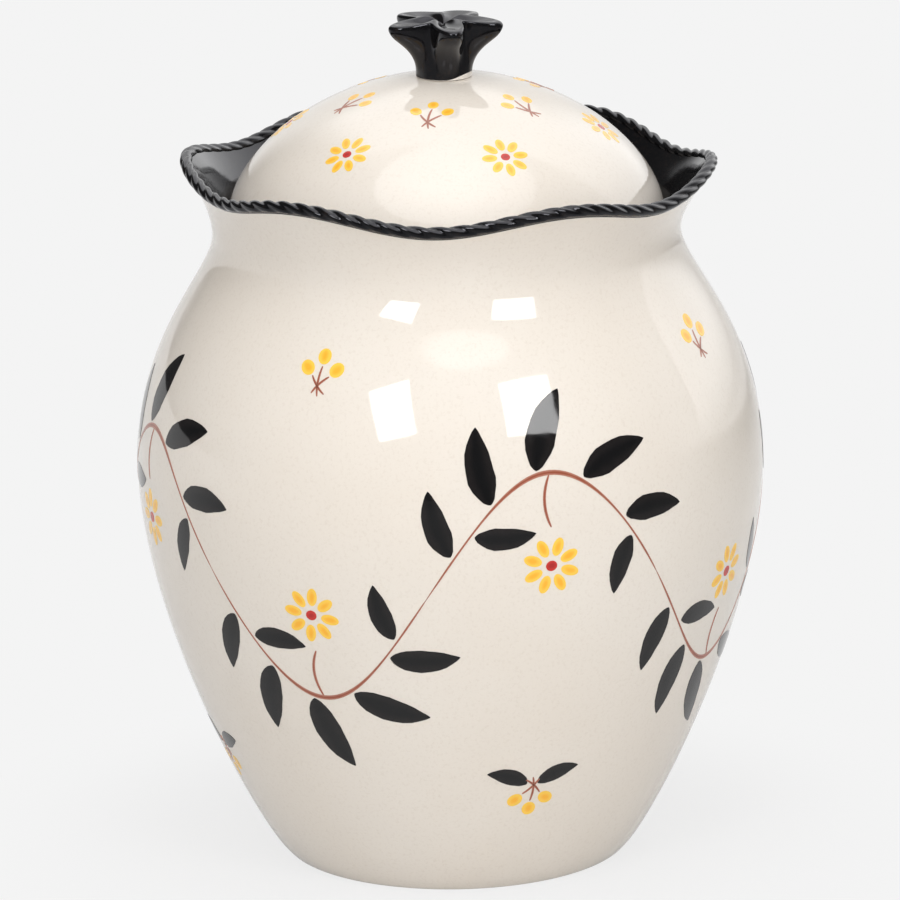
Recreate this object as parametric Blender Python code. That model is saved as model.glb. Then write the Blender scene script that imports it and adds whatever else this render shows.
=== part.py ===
# Glazed stoneware cookie jar: a full-bellied jar with a six-lobed collar edged by a
# rope moulding, and a domed lid with a flower knob and a rubber sealing ring.
# Metres, +Z up. The origin is the centre of the foot, and the front faces -Y.

import math

import bmesh
import bpy
from mathutils import Vector
from mathutils.geometry import interpolate_bezier

# Jar wall, from the foot up
FOOT_RADIUS = 0.0581
FOOT_EDGE = 0.001
FOOT_LAND = 0.0075
FOOT_RECESS = 0.0025
BELLY_RADIUS = 0.1043
BELLY_HEIGHT = 0.1329
NECK_RADIUS = 0.0777
NECK_RISE = 0.0786
WALL = 0.0042
FLOOR = 0.0065
FLOOR_FILLET = 0.008

# Handle lengths of the wall's curves: how full each stretch is
FOOT_FLARE = 0.0094
FOOT_RISE = 0.0088
BELLY_FULLNESS_BELOW = 0.0498
BELLY_FULLNESS_ABOVE = 0.045
NECK_EASE = 0.015
COLLAR_EASE = 0.007

# Collar and its rope moulding
RIM_FLARE = 0.0076
RIM_RISE = 0.0208
LOBES = 6
LOBE_OUT = 0.0016
LOBE_UP = 0.0030
LOBE_ANGLE = math.radians(56)
LIP_LEAN = math.radians(35)
LIP_THICKNESS = 0.003
ROPE_RADIUS = 0.0019
ROPE_GROOVE = 0.0006
ROPE_STRANDS = 3
ROPE_LAY = 0.0207

# Ledge that carries the lid, just over the neck's narrowest height, and its throat
LEDGE_RISE = 0.0005
LEDGE_WIDTH = 0.008
LEDGE_THICKNESS = 0.007
LEDGE_FILLET = 0.001
UNDERCUT = 0.008

# Lid
LID_PLAY = 0.001
LID_EDGE = 0.0037
DOME_HEIGHT = 0.048
DOME_FULLNESS = 1.8
LID_WALL = 0.0045
LID_CHAMFER = 0.001
FLANGE_GAP = 0.0028
FLANGE_THICKNESS = 0.0045
FLANGE_DEPTH = 0.012

# Sealing ring in its groove
GROOVE_DEPTH = 0.0015
GROOVE_HEIGHT = 0.0034
SEAL_PLAY = 0.0003
SEAL_LIP = 0.0012

# Flower knob
PETALS = 5
PETAL_ANGLE = math.radians(-83)
PETAL_ROUNDNESS = 1.9
KNOB_FOOT_RADIUS = 0.0093
KNOB_TIP_RADIUS = 0.0196
KNOB_VALLEY_RADIUS = 0.0096
KNOB_HEIGHT = 0.0188
KNOB_EDGE = 0.0048
KNOB_STEM = 0.0075
KNOB_FLARE = 0.006
KNOB_FLARE_SLOPE = 1.2
KNOB_HOLLOW = 0.0022

# Gap between fired pieces that rest on each other
SEAT_GAP = 0.0003

# Facets round the turned pieces, and rope facets in one turn of its strands
BODY_SIDES = 60
LID_SIDES = 48
KNOB_SIDES = 50
ROPE_SIDES = 12

# Sizes that follow from those above
NECK_HEIGHT = BELLY_HEIGHT + NECK_RISE
RIM_RADIUS = NECK_RADIUS + RIM_FLARE
RIM_HEIGHT = NECK_HEIGHT + RIM_RISE
LEDGE_HEIGHT = NECK_HEIGHT + LEDGE_RISE
COLLAR_RADIUS = NECK_RADIUS - WALL
THROAT_RADIUS = COLLAR_RADIUS - LEDGE_WIDTH
LID_RADIUS = COLLAR_RADIUS - LID_PLAY
LID_BASE = LEDGE_HEIGHT + SEAT_GAP
FLANGE_RADIUS = THROAT_RADIUS - FLANGE_GAP
SEAL_HEIGHT = LEDGE_HEIGHT - LEDGE_THICKNESS / 2

CREAM = (0.80, 0.73, 0.65)
BLACK = (0.012, 0.012, 0.013)
RUBBER = (0.62, 0.61, 0.58)


def clear_scene():
    for obj in list(bpy.data.objects):
        bpy.data.objects.remove(obj, do_unlink=True)


def finish(name, colour, roughness):
    material = bpy.data.materials.new(name)
    material.use_nodes = True
    shader = material.node_tree.nodes["Principled BSDF"]
    shader.inputs["Base Color"].default_value = (*colour, 1)
    shader.inputs["Roughness"].default_value = roughness
    shader.inputs["Metallic"].default_value = 0
    return material


def curve(start, start_handle, end_handle, end, steps):
    """Points of a Bezier curve in the (radius, height) plane."""
    corners = [Vector((*point, 0)) for point in (start, start_handle, end_handle, end)]
    return [(point.x, point.y) for point in interpolate_bezier(*corners, steps + 1)]


def offset(outline, distance):
    """The outline moved inwards, where it runs up the outside of a wall."""
    moved = []
    for index, (radius, height) in enumerate(outline):
        before = Vector(outline[max(index - 1, 0)])
        after = Vector(outline[min(index + 1, len(outline) - 1)])
        along = (after - before).normalized()
        moved.append((radius - along.y * distance, height + along.x * distance))
    return moved


def between(outline, low, high):
    """The stretch of a rising outline between two heights, with a point on each."""

    def radius_at(height):
        for (radius, start), (next_radius, end) in zip(outline, outline[1:]):
            if height <= end:
                break
        return radius + (next_radius - radius) * (height - start) / (end - start)

    middle = [point for point in outline if low < point[1] < high]
    return [(radius_at(low), low), *middle, (radius_at(high), high)]


def lobe(angle):
    return math.cos(LOBES * (angle - LOBE_ANGLE))


def ring_points(sides, place):
    """One ring of points, where place gives (radius, height) for an angle."""
    points = []
    for side in range(sides):
        angle = 2 * math.pi * side / sides
        radius, height = place(angle)
        points.append((radius * math.cos(angle), radius * math.sin(angle), height))
    return points


def skin(name, rings, material, base, closed=False):
    """A solid from rings of points: closed back on its first ring, or capped by two poles."""
    mesh = bmesh.new()
    loops = [[mesh.verts.new(point) for point in ring] for ring in rings]
    pairs = list(zip(loops, loops[1:]))
    if closed:
        pairs.append((loops[-1], loops[0]))
    for lower, upper in pairs:
        sides = max(len(lower), len(upper))
        for side in range(sides):
            after = (side + 1) % sides
            corners = [lower[side % len(lower)], lower[after % len(lower)]]
            corners += [upper[after % len(upper)], upper[side % len(upper)]]
            mesh.faces.new(list(dict.fromkeys(corners)))
    bmesh.ops.recalc_face_normals(mesh, faces=mesh.faces)
    data = bpy.data.meshes.new(name)
    mesh.to_mesh(data)
    mesh.free()
    data.shade_smooth()
    data.set_sharp_from_angle(angle=math.radians(40))
    data.materials.append(material)
    obj = bpy.data.objects.new(name, data)
    obj.location.z = base
    bpy.context.collection.objects.link(obj)
    return obj


def turned(name, outline, sides, material, base=0.0, closed=False):
    """A turned piece. An outline point is (radius, height, share of the rim's wave)."""

    def place(point):
        radius, height, share = point
        return lambda angle: (
            radius + share * LOBE_OUT * lobe(angle),
            height + share * LOBE_UP * lobe(angle),
        )

    rings = []
    for point in outline:
        if point[0] == 0:
            rings.append([(0, 0, point[1])])
        else:
            rings.append(ring_points(sides, place(point)))
    return skin(name, rings, material, base, closed)


def level(points):
    return [(radius, height, 0.0) for radius, height in points]


def waving(points, rising):
    """Collar points: the wave is nil at the neck and whole at the lip."""
    last = len(points) - 1
    shares = [(index / last) ** 2 * (3 - 2 * index / last) for index in range(last + 1)]
    if not rising:
        shares.reverse()
    return [(*point, share) for point, share in zip(points, shares)]


def wall_outline():
    """The outside of the wall, from the foot over the belly to the neck."""
    below = curve(
        (FOOT_RADIUS, FOOT_EDGE),
        (FOOT_RADIUS + FOOT_FLARE, FOOT_EDGE + FOOT_RISE),
        (BELLY_RADIUS, BELLY_HEIGHT - BELLY_FULLNESS_BELOW),
        (BELLY_RADIUS, BELLY_HEIGHT),
        7,
    )
    above = curve(
        (BELLY_RADIUS, BELLY_HEIGHT),
        (BELLY_RADIUS, BELLY_HEIGHT + BELLY_FULLNESS_ABOVE),
        (NECK_RADIUS, NECK_HEIGHT - NECK_EASE),
        (NECK_RADIUS, NECK_HEIGHT),
        8,
    )
    return below + above[1:]


def collar_outlines():
    """The collar's outside from the neck up, and its inside from the lip down.

    The lip is square to its lean, and lies a seat gap under the rope.
    """
    lean = Vector((math.sin(LIP_LEAN), math.cos(LIP_LEAN)))
    across = Vector((lean.y, -lean.x)) * LIP_THICKNESS / 2
    middle = Vector((RIM_RADIUS, RIM_HEIGHT)) - lean * (ROPE_RADIUS + SEAT_GAP)
    foot = (COLLAR_RADIUS, LEDGE_HEIGHT + LEDGE_FILLET)
    outer = curve(
        (NECK_RADIUS, NECK_HEIGHT),
        (NECK_RADIUS, NECK_HEIGHT + COLLAR_EASE),
        middle + across - lean * COLLAR_EASE,
        middle + across,
        4,
    )
    inner = curve(
        middle - across,
        middle - across - lean * COLLAR_EASE,
        (foot[0], foot[1] + COLLAR_EASE),
        foot,
        4,
    )
    return outer, inner


def make_jar(material):
    land_radius = FOOT_RADIUS - FOOT_EDGE
    foot = [
        (0, FOOT_RECESS),
        (land_radius - FOOT_LAND - FOOT_RECESS, FOOT_RECESS),
        (land_radius - FOOT_LAND, 0),
        (land_radius, 0),
    ]
    throat_foot = LEDGE_HEIGHT - LEDGE_THICKNESS
    ledge = [
        (COLLAR_RADIUS - LEDGE_FILLET, LEDGE_HEIGHT),
        (THROAT_RADIUS, LEDGE_HEIGHT),
        (THROAT_RADIUS, throat_foot),
    ]
    wall = wall_outline()
    hollow = offset(wall, WALL)
    inside = between(hollow, FLOOR + FLOOR_FILLET, throat_foot - UNDERCUT)[::-1]
    corner = (between(hollow, FLOOR, FLOOR + FLOOR_FILLET)[0][0], FLOOR)
    floor = curve(inside[-1], corner, corner, (corner[0] - FLOOR_FILLET, FLOOR), 3)[1:]
    outer, inner = collar_outlines()
    outline = level(foot + wall) + waving(outer, True)[1:] + waving(inner, False)
    outline += level(ledge + inside + floor + [(0, FLOOR)])
    return turned("jar_body", outline, BODY_SIDES, material)


def make_rope(material):
    """A cord of twisted strands that follows the wavy rim."""
    turns = round(2 * math.pi * RIM_RADIUS / ROPE_LAY)
    steps = turns * ROPE_SIDES
    corners = 2 * ROPE_STRANDS
    upward = Vector((0, 0, 1))
    rings = []
    for step in range(steps):
        angle = 2 * math.pi * step / steps
        outward = Vector((math.cos(angle), math.sin(angle), 0))
        centre = outward * (RIM_RADIUS + LOBE_OUT * lobe(angle))
        centre += upward * LOBE_UP * lobe(angle)
        ring = []
        for corner in range(corners):
            turn = 2 * math.pi * (corner / corners - step / ROPE_SIDES)
            reach = ROPE_RADIUS - ROPE_GROOVE * (corner % 2)
            ring.append(centre + (outward * math.cos(turn) + upward * math.sin(turn)) * reach)
        rings.append(ring)
    return skin("rim_rope", rings, material, RIM_HEIGHT, closed=True)


def dome_height(radius):
    """Height of the dome's outside over the lid's base: a superellipse."""
    share = 1 - (radius / LID_RADIUS) ** DOME_FULLNESS
    return LID_EDGE + DOME_HEIGHT * share ** (1 / DOME_FULLNESS)


def dome(steps):
    """The dome's outside from its edge to its crown."""
    points = []
    for step in range(steps):
        turn = math.pi / 2 * step / steps
        radius = LID_RADIUS * math.cos(turn) ** (2 / DOME_FULLNESS)
        points.append((radius, dome_height(radius)))
    return points + [(0, LID_EDGE + DOME_HEIGHT)]


def make_lid(material):
    outside = dome(10)
    edge = [(LID_RADIUS, LID_CHAMFER), (LID_RADIUS - LID_CHAMFER, 0), (FLANGE_RADIUS, 0)]
    groove_top = SEAL_HEIGHT - LID_BASE + GROOVE_HEIGHT / 2
    groove_radius = FLANGE_RADIUS - GROOVE_DEPTH
    groove = [
        (FLANGE_RADIUS, groove_top),
        (groove_radius, groove_top),
        (groove_radius, groove_top - GROOVE_HEIGHT),
        (FLANGE_RADIUS, groove_top - GROOVE_HEIGHT),
    ]
    bore = FLANGE_RADIUS - FLANGE_THICKNESS
    flange = [
        (FLANGE_RADIUS, LID_CHAMFER - FLANGE_DEPTH),
        (FLANGE_RADIUS - LID_CHAMFER, -FLANGE_DEPTH),
        (bore + LID_CHAMFER, -FLANGE_DEPTH),
        (bore, LID_CHAMFER - FLANGE_DEPTH),
        (bore, 0),
    ]
    crown = LID_EDGE + DOME_HEIGHT - LID_WALL
    inside = between(offset(outside, LID_WALL)[:-1], LID_EDGE + LID_WALL, crown - LID_WALL / 4)
    outline = outside[::-1] + edge + groove + flange + inside + [(0, crown)]
    return turned("lid_shell", level(outline), LID_SIDES, material, LID_BASE)


def make_seal(material):
    """A ring with its root in the groove and a soft lip that reaches the throat."""
    root_radius = FLANGE_RADIUS - GROOVE_DEPTH + SEAL_PLAY
    lip_radius = THROAT_RADIUS - SEAL_PLAY
    half = GROOVE_HEIGHT / 2 - SEAL_PLAY
    outline = [
        (root_radius, -half),
        (FLANGE_RADIUS + SEAL_PLAY, -half),
        (lip_radius, half - SEAL_LIP),
        (lip_radius, half),
        (root_radius, half),
    ]
    return turned("lid_seal", level(outline), LID_SIDES, material, SEAL_HEIGHT, closed=True)


def flower(valley, tip):
    """A place between a valley point and a tip point, by the angle from the petals."""

    def place(angle):
        swing = abs(math.cos(PETALS * (angle - PETAL_ANGLE) / 2)) ** PETAL_ROUNDNESS
        return tuple(low + (high - low) * swing for low, high in zip(valley, tip))

    return place


def knob_side(radius):
    """The knob's side from its foot on the dome out to a radius under the petals' edge."""
    foot = dome_height(KNOB_FOOT_RADIUS) - dome_height(0) + SEAT_GAP
    top = KNOB_HEIGHT - KNOB_EDGE
    reach = max(0, min(KNOB_FLARE, radius - KNOB_FOOT_RADIUS))
    return curve(
        (KNOB_FOOT_RADIUS, foot),
        (KNOB_FOOT_RADIUS, foot + KNOB_STEM),
        (radius - reach, top - reach * KNOB_FLARE_SLOPE),
        (radius, top),
        6,
    )


def make_knob(material):
    """A five-petalled flower on a stem, its foot hollowed to the dome."""
    half = KNOB_FOOT_RADIUS / 2
    foot = (half, dome_height(half) - dome_height(0) + SEAT_GAP)
    inset = KNOB_EDGE / 3
    hollow = KNOB_HEIGHT - KNOB_HOLLOW
    middle = KNOB_HEIGHT - KNOB_EDGE / 2
    side = list(zip(knob_side(KNOB_VALLEY_RADIUS), knob_side(KNOB_TIP_RADIUS)))
    top = [
        ((KNOB_VALLEY_RADIUS, middle), (KNOB_TIP_RADIUS + inset / 4, middle)),
        ((KNOB_VALLEY_RADIUS - inset, hollow), (KNOB_TIP_RADIUS - inset, KNOB_HEIGHT)),
        ((KNOB_VALLEY_RADIUS * 0.6, hollow), (KNOB_TIP_RADIUS * 0.6, KNOB_HEIGHT)),
        ((KNOB_VALLEY_RADIUS * 0.25, hollow), (KNOB_TIP_RADIUS * 0.25, hollow)),
    ]
    rings = [[(0, 0, SEAT_GAP)], ring_points(KNOB_SIDES, lambda angle: foot)]
    rings += [ring_points(KNOB_SIDES, flower(valley, tip)) for valley, tip in side + top]
    rings.append([(0, 0, hollow - KNOB_HOLLOW / 2)])
    return skin("lid_knob", rings, material, LID_BASE + dome_height(0))


def carry(name, pieces):
    """An empty on the lid's axis that carries the pieces of one moving body."""
    axis = bpy.data.objects.new(name, None)
    axis.location.z = LEDGE_HEIGHT
    bpy.context.collection.objects.link(axis)
    for piece in pieces:
        piece.parent = axis
        piece.location.z -= LEDGE_HEIGHT


def main():
    clear_scene()
    cream = finish("cream_glaze", CREAM, 0.12)
    black = finish("black_glaze", BLACK, 0.1)
    rubber = finish("seal_rubber", RUBBER, 0.6)
    make_jar(cream)
    make_rope(black)
    carry("seal_axis", [make_seal(rubber)])
    carry("lid_axis", [make_lid(cream), make_knob(black)])


main()
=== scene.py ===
import math

import bpy
import numpy as np
from mathutils import Matrix, Vector


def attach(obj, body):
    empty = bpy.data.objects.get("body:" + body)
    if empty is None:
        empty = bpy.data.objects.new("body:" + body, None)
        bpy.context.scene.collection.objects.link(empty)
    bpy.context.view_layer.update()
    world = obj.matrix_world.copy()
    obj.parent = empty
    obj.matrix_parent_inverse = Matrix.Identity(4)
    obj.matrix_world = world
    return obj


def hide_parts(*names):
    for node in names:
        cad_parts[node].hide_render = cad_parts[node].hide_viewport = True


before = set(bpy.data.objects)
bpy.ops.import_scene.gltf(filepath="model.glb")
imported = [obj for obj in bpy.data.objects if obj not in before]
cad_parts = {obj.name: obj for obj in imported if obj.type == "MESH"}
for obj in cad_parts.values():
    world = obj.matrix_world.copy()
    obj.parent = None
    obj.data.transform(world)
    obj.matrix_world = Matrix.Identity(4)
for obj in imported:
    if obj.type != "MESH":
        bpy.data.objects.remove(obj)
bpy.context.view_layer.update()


# Mesh tools
def makeSurface(name, grid, first=None, last=None, ring=False, across=None, sharp=40):
    # Points in pieces x rows x columns. A row's columns close on themselves, quads join each
    # row to the next, and the end rows close on poles, or on each other in a ring.
    count, rows, columns = grid.shape[:3]
    index = np.arange(count * rows * columns).reshape(count, rows, columns)
    beside = np.roll(index, -1, axis=2)
    u = np.linspace(0, 1, columns + 1) if across is None else np.asarray(across, float)
    v = np.linspace(0, 1, rows + 1 if ring else rows)
    if ring:
        quads = np.stack([index, beside, np.roll(beside, -1, 1), np.roll(index, -1, 1)], -1)
    else:
        quads = np.stack([index[:, :-1], beside[:, :-1], beside[:, 1:], index[:, 1:]], -1)
    steps = quads.shape[1]
    quadUv = np.zeros((count, steps, columns, 4, 2))
    quadUv[..., 0, 0] = quadUv[..., 3, 0] = u[:-1]
    quadUv[..., 1, 0] = quadUv[..., 2, 0] = u[1:]
    quadUv[..., 0, 1] = quadUv[..., 1, 1] = v[:steps, None]
    quadUv[..., 2, 1] = quadUv[..., 3, 1] = v[1:steps + 1, None]
    points = [grid.reshape(-1, 3)]
    faces, corners = [quads.reshape(-1, 4)], [quadUv.reshape(-1, 2)]
    offset = index.size
    for pole, row, flip in ((first, 0, True), (last, -1, False)):
        if pole is None:
            continue
        tip = np.broadcast_to((offset + np.arange(count))[:, None], (count, columns))
        pair = (beside[:, row], index[:, row]) if flip else (index[:, row], beside[:, row])
        faces.append(np.stack([tip, *pair], -1).reshape(-1, 3))
        uv = np.zeros((count, columns, 3, 2))
        uv[..., 0, 0] = (u[:-1] + u[1:]) / 2 if across is None else 0.5
        uv[..., 0, 1], uv[..., 1, 1], uv[..., 2, 1] = v[row], v[row], v[row]
        uv[..., 1, 0], uv[..., 2, 0] = (u[1:], u[:-1]) if flip else (u[:-1], u[1:])
        corners.append(uv.reshape(-1, 2))
        points.append(np.asarray(pole, float).reshape(-1, 3))
        offset += count
    mesh = bpy.data.meshes.new(name)
    mesh.from_pydata(np.concatenate(points).tolist(), [], sum((f.tolist() for f in faces), []))
    layer = mesh.uv_layers.new(name="surface")
    layer.data.foreach_set("uv", np.concatenate(corners).ravel())
    mesh.shade_smooth()
    mesh.set_sharp_from_angle(angle=math.radians(sharp))
    piece = bpy.data.objects.new(name, mesh)
    bpy.context.collection.objects.link(piece)
    return piece


def dress(piece, body, materials, nodes=()):
    # Gives a piece its materials and its body, and hides the solids that it stands in for.
    for material in materials:
        piece.data.materials.append(material)
    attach(piece, body)
    if nodes:
        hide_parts(*nodes)
    print("made", piece.name, len(piece.data.polygons), "faces on", body)


def bezier(start, startHandle, endHandle, end, count):
    # Cubic Bezier: the four corners weighted by the Bernstein polynomials.
    t = np.linspace(0, 1, count)[:, None]
    corners = [np.asarray(corner, float) for corner in (start, startHandle, endHandle, end)]
    weights = [(1 - t) ** 3, 3 * t * (1 - t) ** 2, 3 * t * t * (1 - t), t ** 3]
    return sum(weight * corner for weight, corner in zip(weights, corners))


def rounded(corners, radius, count=5):
    # A bent line with each inner corner cut by a quadratic curve that starts radius before it.
    corners = np.asarray(corners, float)
    pieces = [corners[:1]]
    for before, corner, after in zip(corners, corners[1:], corners[2:]):
        t = np.linspace(0, 1, count)[:, None]
        reach = [min(radius, np.linalg.norm(side - corner) * 0.45) for side in (before, after)]
        start = corner + (before - corner) / np.linalg.norm(before - corner) * reach[0]
        end = corner + (after - corner) / np.linalg.norm(after - corner) * reach[1]
        pieces.append(start * (1 - t) ** 2 + corner * 2 * t * (1 - t) + end * t * t)
    return np.concatenate([*pieces, corners[-1:]])


def outwards(outline):
    # Unit normal of a line in the (radius, height) plane: its direction turned clockwise.
    along = np.gradient(outline, axis=0)
    along /= np.linalg.norm(along, axis=1)[:, None]
    return np.stack([along[:, 1], -along[:, 0]], 1)


def rimWave(angle):
    # How far the rim strays from a level circle: a cosine wave out and up with one crest for
    # each lobe, a small shift off the axis, and a small tilt. Gives x, y and height.
    lobe = np.cos(collar["lobes"] * (angle - collar["lobeAngle"]))
    tilt = collar["tilt"][0] * np.cos(angle) + collar["tilt"][1] * np.sin(angle)
    out = collar["lobeOut"] * lobe
    return np.stack([collar["shift"][0] + out * np.cos(angle), collar["shift"][1] + out * np.sin(angle),
                     collar["lobeUp"] * lobe + tilt], -1)


def turn(outline, columns, wave=None):
    # Each outline point turned about Z. wave is a share of the rim's wave for each point.
    angle = np.arange(columns) * 2 * math.pi / columns
    share = np.zeros(len(outline)) if wave is None else wave
    radius, height = outline[:, :1], outline[:, 1:]
    grid = np.stack([radius * np.cos(angle), radius * np.sin(angle), height + 0 * angle], -1)
    return (grid + share[:, None, None] * rimWave(angle))[None]


# Shader tools
def link(tree, source, target):
    tree.links.new(source, target)


def addNode(tree, kind, **values):
    node = tree.nodes.new(kind)
    for key, value in values.items():
        if hasattr(node, key):
            setattr(node, key, value)
        else:
            node.inputs[key.replace("_", " ")].default_value = value
    return node


def mathNode(tree, operation, first, second=None):
    node = tree.nodes.new("ShaderNodeMath")
    node.operation = operation
    for socket, value in zip(node.inputs, (first, second)):
        if value is None:
            continue
        if isinstance(value, (int, float)):
            socket.default_value = value
        else:
            link(tree, value, socket)
    return node.outputs[0]


def rampNode(tree, source, stops):
    node = tree.nodes.new("ShaderNodeValToRGB")
    while len(node.color_ramp.elements) < len(stops):
        node.color_ramp.elements.new(0.5)
    for element, (place, value) in zip(node.color_ramp.elements, stops):
        element.position = place
        element.color = (value, value, value, 1) if isinstance(value, (int, float)) else (*value, 1)
    link(tree, source, node.inputs[0])
    return node.outputs[0]


def smoothNode(tree, value, low, high, least=0.0, most=1.0, kind="SMOOTHSTEP"):
    # The value's run from low to high, mapped to the run from least to most.
    node = tree.nodes.new("ShaderNodeMapRange")
    node.interpolation_type = kind
    for name, number in (("From Min", low), ("From Max", high), ("To Min", least), ("To Max", most)):
        node.inputs[name].default_value = number
    link(tree, value, node.inputs["Value"])
    return node.outputs[0]


def mixColours(tree, share, first, second):
    node = tree.nodes.new("ShaderNodeMix")
    node.data_type = "RGBA"
    for socket, value in ((node.inputs[0], share), (node.inputs[6], first), (node.inputs[7], second)):
        if isinstance(value, (int, float)):
            socket.default_value = value
        elif isinstance(value, tuple):
            socket.default_value = (*value, 1)
        else:
            link(tree, value, socket)
    return node.outputs[2]


def feedRamp(tree, shader, name, source, stops):
    link(tree, rampNode(tree, source, stops), shader.inputs[name])


def glazeGroup():
    # Noise clouds, fine speckle, rare dark iron specks and a faint ripple of the fired glaze.
    group = bpy.data.node_groups.new("firedGlaze", "ShaderNodeTree")
    face = group.interface
    face.new_socket("Place", in_out="INPUT", socket_type="NodeSocketVector")
    for name, value in (("Cloud Scale", 14.0), ("Speckle Scale", 900.0), ("Iron Scale", 120.0)):
        socket = face.new_socket(name, in_out="INPUT", socket_type="NodeSocketFloat")
        socket.default_value = value
    for name in ("Clouds", "Speckle", "Iron", "Ripple"):
        face.new_socket(name, in_out="OUTPUT", socket_type="NodeSocketFloat")
    inside = group.nodes.new("NodeGroupInput")
    outside = group.nodes.new("NodeGroupOutput")
    clouds = addNode(group, "ShaderNodeTexNoise", Detail=3.0, Roughness=0.55)
    speckle = addNode(group, "ShaderNodeTexNoise", Detail=2.0, Roughness=0.7)
    iron = addNode(group, "ShaderNodeTexVoronoi", Randomness=1.0)
    ripple = addNode(group, "ShaderNodeTexNoise", Scale=70.0, Detail=2.0, Roughness=0.4)
    for node, scale in ((clouds, "Cloud Scale"), (speckle, "Speckle Scale"), (iron, "Iron Scale")):
        link(group, inside.outputs["Place"], node.inputs["Vector"])
        link(group, inside.outputs[scale], node.inputs["Scale"])
    link(group, inside.outputs["Place"], ripple.inputs["Vector"])
    split = group.nodes.new("ShaderNodeSeparateColor")
    link(group, iron.outputs["Color"], split.inputs[0])
    chosen = mathNode(group, "GREATER_THAN", split.outputs[0], 0.965)
    size = mathNode(group, "MULTIPLY", split.outputs[1], 0.05)
    near = mathNode(group, "LESS_THAN", iron.outputs["Distance"], size)
    feedRamp(group, outside, "Clouds", clouds.outputs["Fac"], [(0.3, 0.0), (0.7, 1.0)])
    feedRamp(group, outside, "Speckle", speckle.outputs["Fac"], [(0.52, 0.0), (0.72, 1.0)])
    link(group, mathNode(group, "MULTIPLY", chosen, near), outside.inputs["Iron"])
    link(group, ripple.outputs["Fac"], outside.inputs["Ripple"])
    return group


def newMaterial(name, **sockets):
    material = bpy.data.materials.new(name)
    material.use_nodes = True
    tree = material.node_tree
    shader = tree.nodes["Principled BSDF"]
    for key, value in sockets.items():
        shader.inputs[key.replace("_", " ")].default_value = value
    return material, tree, shader


def useGlaze(tree, **values):
    place = tree.nodes.new("ShaderNodeTexCoord")
    fired = tree.nodes.new("ShaderNodeGroup")
    fired.node_tree = firedGlaze
    for key, value in values.items():
        fired.inputs[key.replace("_", " ")].default_value = value
    link(tree, place.outputs["Object"], fired.inputs["Place"])
    return fired


def addRipple(tree, shader, height, strength, distance=0.0003):
    # A faint unevenness of the surface.
    bump = addNode(tree, "ShaderNodeBump", Strength=strength, Distance=distance)
    link(tree, height, bump.inputs["Height"])
    link(tree, bump.outputs["Normal"], shader.inputs["Normal"])


firedGlaze = glazeGroup()

# Glazes
glazes = {
    "cream": (0.800, 0.742, 0.670),
    "creamWarm": (0.780, 0.712, 0.632),
    "speckle": (0.560, 0.470, 0.380), "speckleShare": 0.19,
    "iron": (0.060, 0.045, 0.035),
    "black": (0.0045, 0.0045, 0.0050),
    "blackThin": (0.0170, 0.0120, 0.0100),
    "clay": (0.640, 0.560, 0.470),
    "clayDark": (0.480, 0.400, 0.320),
    "rubber": (0.600, 0.590, 0.560),
    "rubberDark": (0.500, 0.490, 0.460),
}


def makeCreamGlaze():
    material, tree, shader = newMaterial("creamGlaze", IOR=1.5)
    fired = useGlaze(tree)
    colour = mixColours(tree, fired.outputs["Clouds"], glazes["cream"], glazes["creamWarm"])
    speckle = mathNode(tree, "MULTIPLY", fired.outputs["Speckle"], glazes["speckleShare"])
    colour = mixColours(tree, speckle, colour, glazes["speckle"])
    colour = mixColours(tree, fired.outputs["Iron"], colour, glazes["iron"])
    link(tree, colour, shader.inputs["Base Color"])
    feedRamp(tree, shader, "Roughness", fired.outputs["Clouds"], [(0.0, 0.035), (1.0, 0.06)])
    addRipple(tree, shader, fired.outputs["Ripple"], 0.12)
    return material


def makeBlackGlaze(name, line=None):
    # Black glaze. Under the line, which rises towards +X, the cream glaze shows.
    material, tree, shader = newMaterial(name, IOR=1.45, Specular_Tint=(0.92, 0.92, 1.0, 1.0))
    fired = useGlaze(tree, Cloud_Scale=60.0, Speckle_Scale=700.0)
    share = mathNode(tree, "MULTIPLY", fired.outputs["Speckle"], fired.outputs["Clouds"])
    colour = mixColours(tree, share, glazes["black"], glazes["blackThin"])
    if line:
        place = tree.nodes.new("ShaderNodeTexCoord")
        split = tree.nodes.new("ShaderNodeSeparateXYZ")
        link(tree, place.outputs["Object"], split.inputs[0])
        rise = smoothNode(tree, split.outputs["X"], line["from"], line["to"], 0.0, line["rise"])
        over = mathNode(tree, "SUBTRACT", split.outputs["Z"], rise)
        dipped = smoothNode(tree, over, line["height"], line["height"] + line["soft"])
        colour = mixColours(tree, dipped, glazes["cream"], colour)
    link(tree, colour, shader.inputs["Base Color"])
    feedRamp(tree, shader, "Roughness", fired.outputs["Clouds"], [(0.0, 0.07), (1.0, 0.15)])
    addRipple(tree, shader, fired.outputs["Ripple"], 0.25)
    return material


def makeBareClay():
    material, tree, shader = newMaterial("bareClay", IOR=1.45)
    fired = useGlaze(tree, Cloud_Scale=90.0, Speckle_Scale=1400.0)
    colour = mixColours(tree, fired.outputs["Clouds"], glazes["clay"], glazes["clayDark"])
    link(tree, colour, shader.inputs["Base Color"])
    feedRamp(tree, shader, "Roughness", fired.outputs["Speckle"], [(0.0, 0.75), (1.0, 0.95)])
    addRipple(tree, shader, fired.outputs["Speckle"], 0.5)
    return material


def makeSealRubber():
    material, tree, shader = newMaterial("sealRubber", IOR=1.41)
    fired = useGlaze(tree, Cloud_Scale=120.0, Speckle_Scale=2500.0)
    colour = mixColours(tree, fired.outputs["Clouds"], glazes["rubber"], glazes["rubberDark"])
    link(tree, colour, shader.inputs["Base Color"])
    feedRamp(tree, shader, "Roughness", fired.outputs["Speckle"], [(0.0, 0.42), (1.0, 0.58)])
    addRipple(tree, shader, fired.outputs["Speckle"], 0.2, 0.0001)
    return material


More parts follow.
